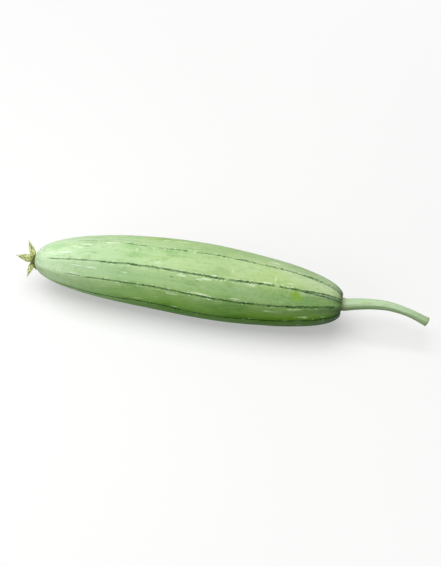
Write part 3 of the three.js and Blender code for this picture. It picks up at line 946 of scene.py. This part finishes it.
sepal_foot_x = neck_low.x - SEPAL_GAP - CAD_THICKNESS / 2
for i, shape in enumerate(SEPALS):
    length = shape.length * MM
    roll, lean, turn, fold, full_twist, full_curl = (
        math.radians(angle)
        for angle in (shape.roll, shape.spread, shape.turn, shape.fold, shape.twist, shape.curl)
    )
    out = Vector((0, math.cos(roll), math.sin(roll)))
    forward = Vector((-1, 0, 0))
    ahead = out * math.sin(lean) + forward * math.cos(lean)
    back = out * math.cos(lean) - forward * math.sin(lean)
    aside = back.cross(ahead)
    normal = back * math.cos(turn) - aside * math.sin(turn)
    across = aside * math.cos(turn) + back * math.sin(turn)
    foot = Vector((sepal_foot_x, flower_y, flower_z)) + out * SEPAL_FOOT
    curvature = full_curl / length

    leaf = bmesh.new()
    leaf_map = leaf.loops.layers.uv.new("leaf")
    bmesh.ops.create_grid(leaf, x_segments=SEPAL_STEPS, y_segments=SEPAL_COLUMNS, size=0.5, calc_uvs=False)
    for leaf_face in leaf.faces:
        for loop in leaf_face.loops:
            loop[leaf_map].uv = (loop.vert.co.x + 0.5, loop.vert.co.y + 0.5)
    for vert in leaf.verts:
        share = vert.co.x + 0.5
        off = vert.co.y * 2
        distance = share * (length + SEPAL_ROOTED) - SEPAL_ROOTED
        breadth = shape.width / 2 * MM * leaf_breadth(share)
        bend = distance * curvature
        centre = foot + ahead * (math.sin(bend) / curvature) + normal * ((1 - math.cos(bend)) / curvature)
        face_out = normal * math.cos(bend) - ahead * math.sin(bend)
        twist = full_twist * share
        ruffle = RUFFLE * off * off * noise.noise(Vector((share * 7, off, i * 5.1)))
        midrib = RIB_LIFT * math.exp(-((off / RIB_SHARPNESS) ** 2)) * (1 - share)
        lift = abs(off) * breadth * math.sin(fold) + midrib + ruffle
        sideways = off * breadth * math.cos(fold)
        vert.co = (
            centre
            + across * (sideways * math.cos(twist) - lift * math.sin(twist))
            - face_out * (sideways * math.sin(twist) + lift * math.cos(twist))
        )
    bmesh.ops.recalc_face_normals(leaf, faces=leaf.faces[:])
    bmesh.ops.solidify(leaf, geom=leaf.faces[:], thickness=SEPAL_THICKNESS)
    piece = finished(f"flower_sepal_{i + 1}", leaf, leaf_finish)
    smoothing = piece.modifiers.new("rounded_edges", "SUBSURF")
    smoothing.levels = 1
    smoothing.render_levels = 1
    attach(piece, "root")
    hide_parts(f"sepal_{i + 1}")


# --- The style --------------------------------------------------------------------------------------------
# The dried stub of the flower's style, which stands in the middle of the star like a burnt wick.
STYLE = {"length": 3.4 * MM, "foot": 1.1 * MM, "waist": 0.75 * MM, "head": 1.1 * MM}
STYLE_ROOTED = 1.2 * MM
STYLE_STEPS = 24
STYLE_SEGMENTS = 48
STYLE_CRUMPLE = 0.45

style_foot_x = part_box("style_stub")[1].x + STYLE_ROOTED
style_outline = [(style_foot_x, 0.0)]
for i in range(STYLE_STEPS + 1):
    share = i / STYLE_STEPS
    radius = STYLE["foot"] + (STYLE["waist"] - STYLE["foot"]) * ease(share, 0.0, 0.5)
    radius += (STYLE["head"] - STYLE["waist"]) * ease(share, 0.5, 0.85)
    radius *= max(0.0, 1 - ease(share, 0.86, 1.0) ** 2) ** 0.5
    style_outline.append((style_foot_x - (STYLE["length"] + STYLE_ROOTED) * share, radius))
wick = turned(style_outline, STYLE_SEGMENTS)
for vert in wick.verts:
    roll = math.atan2(vert.co.z, vert.co.y)
    crumple = noise.noise(Vector((vert.co.x / (1.2 * MM), 2 * math.cos(roll), 2 * math.sin(roll))))
    stretch = 1 + STYLE_CRUMPLE * crumple
    vert.co.y = flower_y + vert.co.y * stretch
    vert.co.z = flower_z + vert.co.z * stretch

style = finished("flower_style", wick, withered)
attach(style, "root")
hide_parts("style_stub")


# --- The floor, the light and the camera ------------------------------------------------------------------
# A plain white sweep of paper in a white room, under one large soft box overhead, which leans a little
# towards the blossom end. A weaker one stands low in front, towards the same end. The paper throws back
# less light than it shows, as if it were small.
FLOOR_SIZE = 8.0
ROOM_LIGHT = 0.2
NEAR, FAR = 0.15, 0.8  # how far from the gourd the paper goes from shaded to plain white
NEAR_GLOW = 0.35

ground_plane = bmesh.new()
bmesh.ops.create_grid(ground_plane, x_segments=1, y_segments=1, size=FLOOR_SIZE / 2)
paper = bpy.data.materials.new("matte_white_paper")
world = bpy.data.worlds.new("studio")


def seen_by(add):
    """1 where the camera sees it, straight or in a gloss or a glass, and 0 where it lights something."""
    rays = add("LightPath")
    seen = rays.outputs["Is Camera Ray"]
    for ray in ("Is Glossy Ray", "Is Transmission Ray"):
        seen = add("Math", seen, rays.outputs[ray], operation="MAXIMUM")
    return seen


add = emptied(paper)
seen = seen_by(add)
colour = add("Mix", seen, "#7F8A70", "#FBFBFA", data_type="RGBA")
from_gourd = add("VectorMath", add("TexCoord").outputs["Object"], operation="LENGTH").outputs["Value"]
glow = add("MapRange", from_gourd, NEAR, FAR, NEAR_GLOW)
glow = add("Math", glow, seen, operation="MULTIPLY")
matte, plain_white = add("BsdfDiffuse", colour), add("Emission", "#FFFFFF", 1.0)
add("OutputMaterial", add("MixShader", glow, matte, plain_white))
floor = finished("floor", ground_plane, paper)

add = emptied(world)
lit, shown = (add("Background", "#FFFFFF", strength) for strength in (ROOM_LIGHT, 1.0))
add("OutputWorld", add("MixShader", seen_by(add), lit, shown))
bpy.context.scene.world = world

gourd_middle = (cad_low + cad_high) / 2


def away(azimuth, elevation):
    """The direction from the gourd to an azimuth and an elevation in degrees. Azimuth 0 is at -Y."""
    a, e = math.radians(azimuth), math.radians(elevation)
    return Vector((math.sin(a) * math.cos(e), -math.cos(a) * math.cos(e), math.sin(e)))


# Each soft box has its azimuth and elevation, its distance and size in metres, and its power in watts.
for name, azimuth, elevation, distance, size, power in (
    ("overhead_box", 270, 78, 1.6, 1.5, 25.0), ("front_box", 315, 25, 1.8, 1.2, 7.0),
):
    lamp = bpy.data.lights.new(name, "AREA")
    lamp.size = size
    lamp.energy = power
    box = bpy.data.objects.new(name, lamp)
    box.location = gourd_middle + away(azimuth, elevation) * distance
    box.rotation_euler = away(azimuth, elevation).to_track_quat("Z", "Y").to_euler()
    bpy.context.scene.collection.objects.link(box)

CAMERA_PLACE = away(11, 50)
CAMERA_DISTANCE = 0.95
FRAME_WIDTH, FRAME_HEIGHT = 441, 566
FILL = 0.945  # share of the frame's width that the gourd's length takes
SENSOR = 36.0

camera_data = bpy.data.cameras.new("camera")
camera_data.sensor_width = SENSOR
picture_height = (cad_high.x - cad_low.x) / FILL * FRAME_HEIGHT / FRAME_WIDTH
camera_data.lens = SENSOR * CAMERA_DISTANCE / picture_height
camera_data.clip_start = 0.01
camera_data.clip_end = 50.0
camera = bpy.data.objects.new("camera", camera_data)
camera.location = gourd_middle + CAMERA_PLACE * CAMERA_DISTANCE
camera.rotation_euler = CAMERA_PLACE.to_track_quat("Z", "Y").to_euler()
bpy.context.scene.collection.objects.link(camera)
bpy.context.scene.camera = camera
bpy.context.scene.view_settings.view_transform = "Standard"
